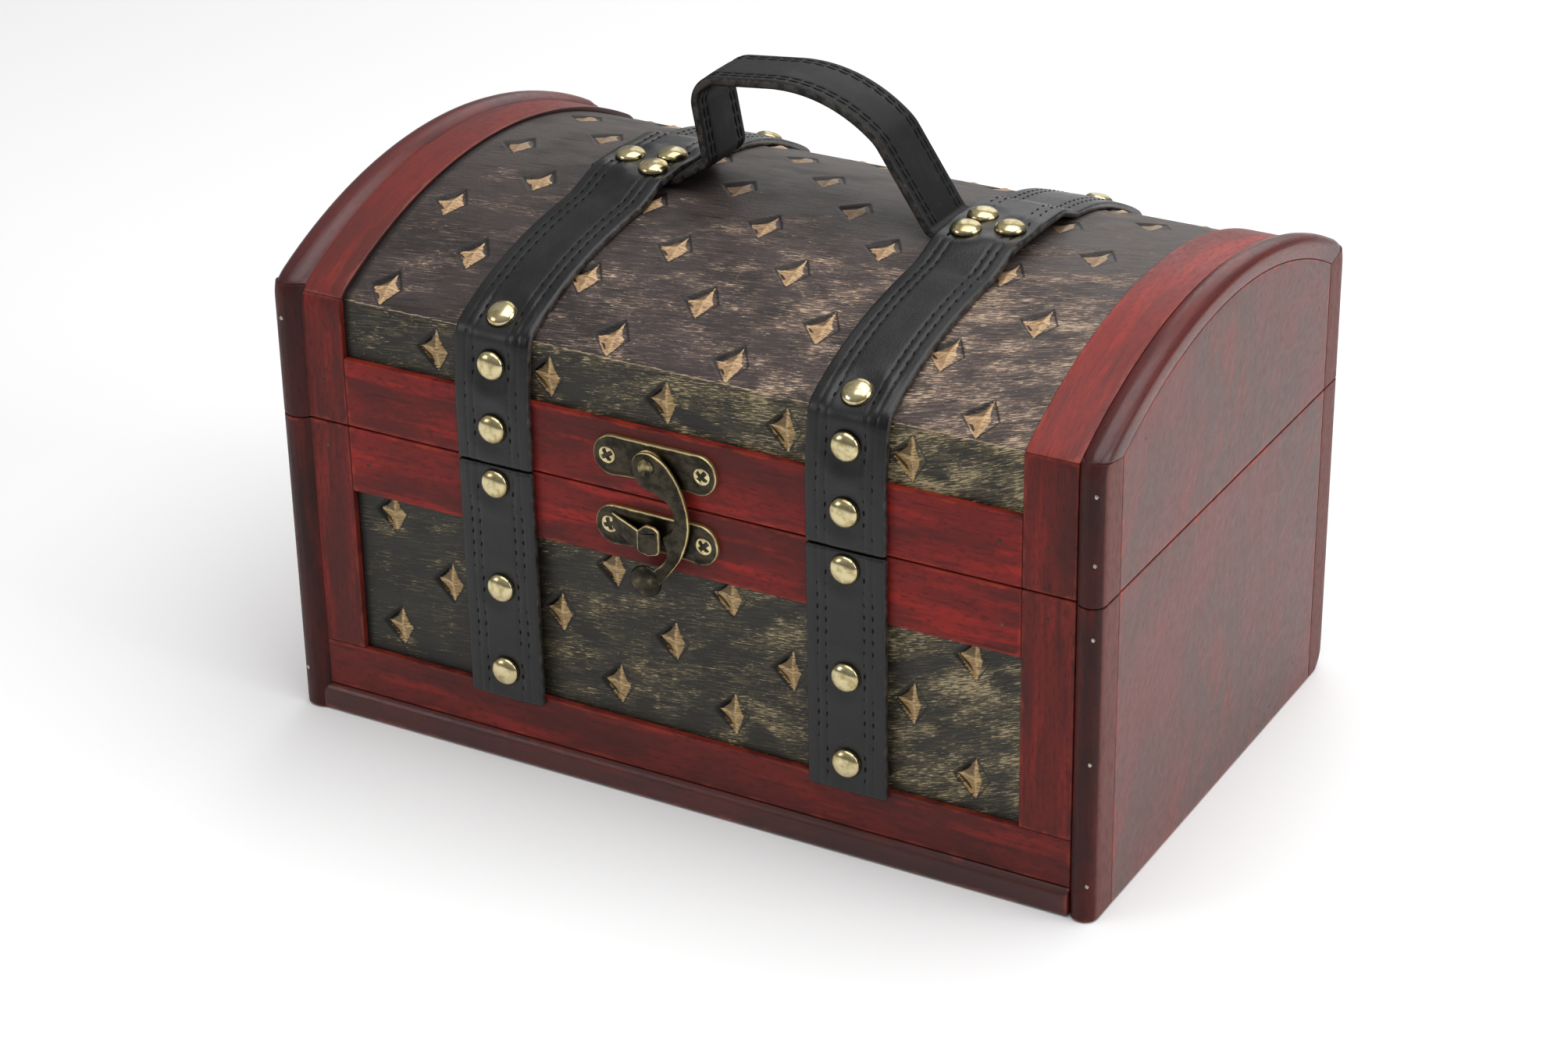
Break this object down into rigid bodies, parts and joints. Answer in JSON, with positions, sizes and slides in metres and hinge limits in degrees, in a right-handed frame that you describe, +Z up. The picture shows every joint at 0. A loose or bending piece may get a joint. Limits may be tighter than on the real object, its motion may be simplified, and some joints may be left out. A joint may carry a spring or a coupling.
{
  "type": "treasure chest box",
  "caption": "Wooden keepsake chest with a hinged arched lid, an embossed covering, leather straps with domed nails, a leather top handle and a swing-hook latch.",
  "frame": {"origin": "on the underside of the base, under the middle of the chest", "axes": "+X to the right seen from the front, +Y to the back where the hinges are, +Z up"},
  "size_m": [0.3, 0.1981, 0.2235],
  "materials": {
    "red_stained_wood": "red-brown stain, worn and lacquered",
    "dark_wood": "plain dark stain inside",
    "embossed_covering": "dark brown embossed imitation leather, rubbed with gold",
    "black_leather": "black leather with stitched edges",
    "bright_brass": "polished pale brass",
    "antique_brass": "blackened brass with burnished edges"
  },
  "bodies": {
    "base": {"bottom_board": "dark_wood", "base_front_board": "dark_wood", "base_front_cover": "embossed_covering", "base_back_board": "dark_wood", "base_back_cover": "embossed_covering", "base_left_end": "red_stained_wood", "base_right_end": "red_stained_wood", "base_front_left_edging": "red_stained_wood", "base_back_left_edging": "red_stained_wood", "base_front_right_edging": "red_stained_wood", "base_back_right_edging": "red_stained_wood", "base_front_left_stile": "red_stained_wood", "base_front_right_stile": "red_stained_wood", "base_front_rail": "red_stained_wood", "base_front_foot_rail": "red_stained_wood", "front_foot_moulding": "red_stained_wood", "base_back_stiles": "red_stained_wood", "base_back_rail": "red_stained_wood", "base_back_foot_rail": "red_stained_wood", "back_foot_moulding": "red_stained_wood", "base_front_left_strap": "black_leather", "base_front_right_strap": "black_leather", "base_back_straps": "black_leather", "base_studs": "bright_brass", "catch_plate": "antique_brass", "catch_screws": "bright_brass", "hinge_base_leaves": "antique_brass", "hinge_base_screws": "bright_brass", "hinge_pins": "antique_brass"},
    "lid": {"lid_front_board": "dark_wood", "lid_back_board": "dark_wood", "lid_vault": "dark_wood", "lid_cover": "embossed_covering", "lid_left_end": "red_stained_wood", "lid_right_end": "red_stained_wood", "lid_front_left_edging": "red_stained_wood", "lid_back_left_edging": "red_stained_wood", "lid_arch_left_edging": "red_stained_wood", "lid_front_right_edging": "red_stained_wood", "lid_back_right_edging": "red_stained_wood", "lid_arch_right_edging": "red_stained_wood", "lid_front_rail": "red_stained_wood", "lid_front_left_stile": "red_stained_wood", "lid_front_right_stile": "red_stained_wood", "lid_back_rail": "red_stained_wood", "lid_back_stiles": "red_stained_wood", "lid_arch_left_strip": "red_stained_wood", "lid_arch_right_strip": "red_stained_wood", "lid_left_strap": "black_leather", "lid_right_strap": "black_leather", "lid_studs": "bright_brass", "handle": "black_leather", "latch_plate": "antique_brass", "latch_rivet": "antique_brass", "latch_screws": "bright_brass", "hinge_lid_leaves": "antique_brass", "hinge_lid_screws": "bright_brass"},
    "hook": {"latch_hook": "antique_brass"}
  },
  "joints": [
    {"name": "lid_hinge", "type": "hinge", "parent": "base", "child": "lid", "pos_m": [0, 0.096, 0.11], "axis": [-1, 0, 0], "range_deg": [0, 105]},
    {"name": "hook_swing", "type": "hinge", "parent": "lid", "child": "hook", "pos_m": [-0.0058, -0.0956, 0.123], "axis": [0, -1, 0], "range_deg": [0, 95]}
  ]
}
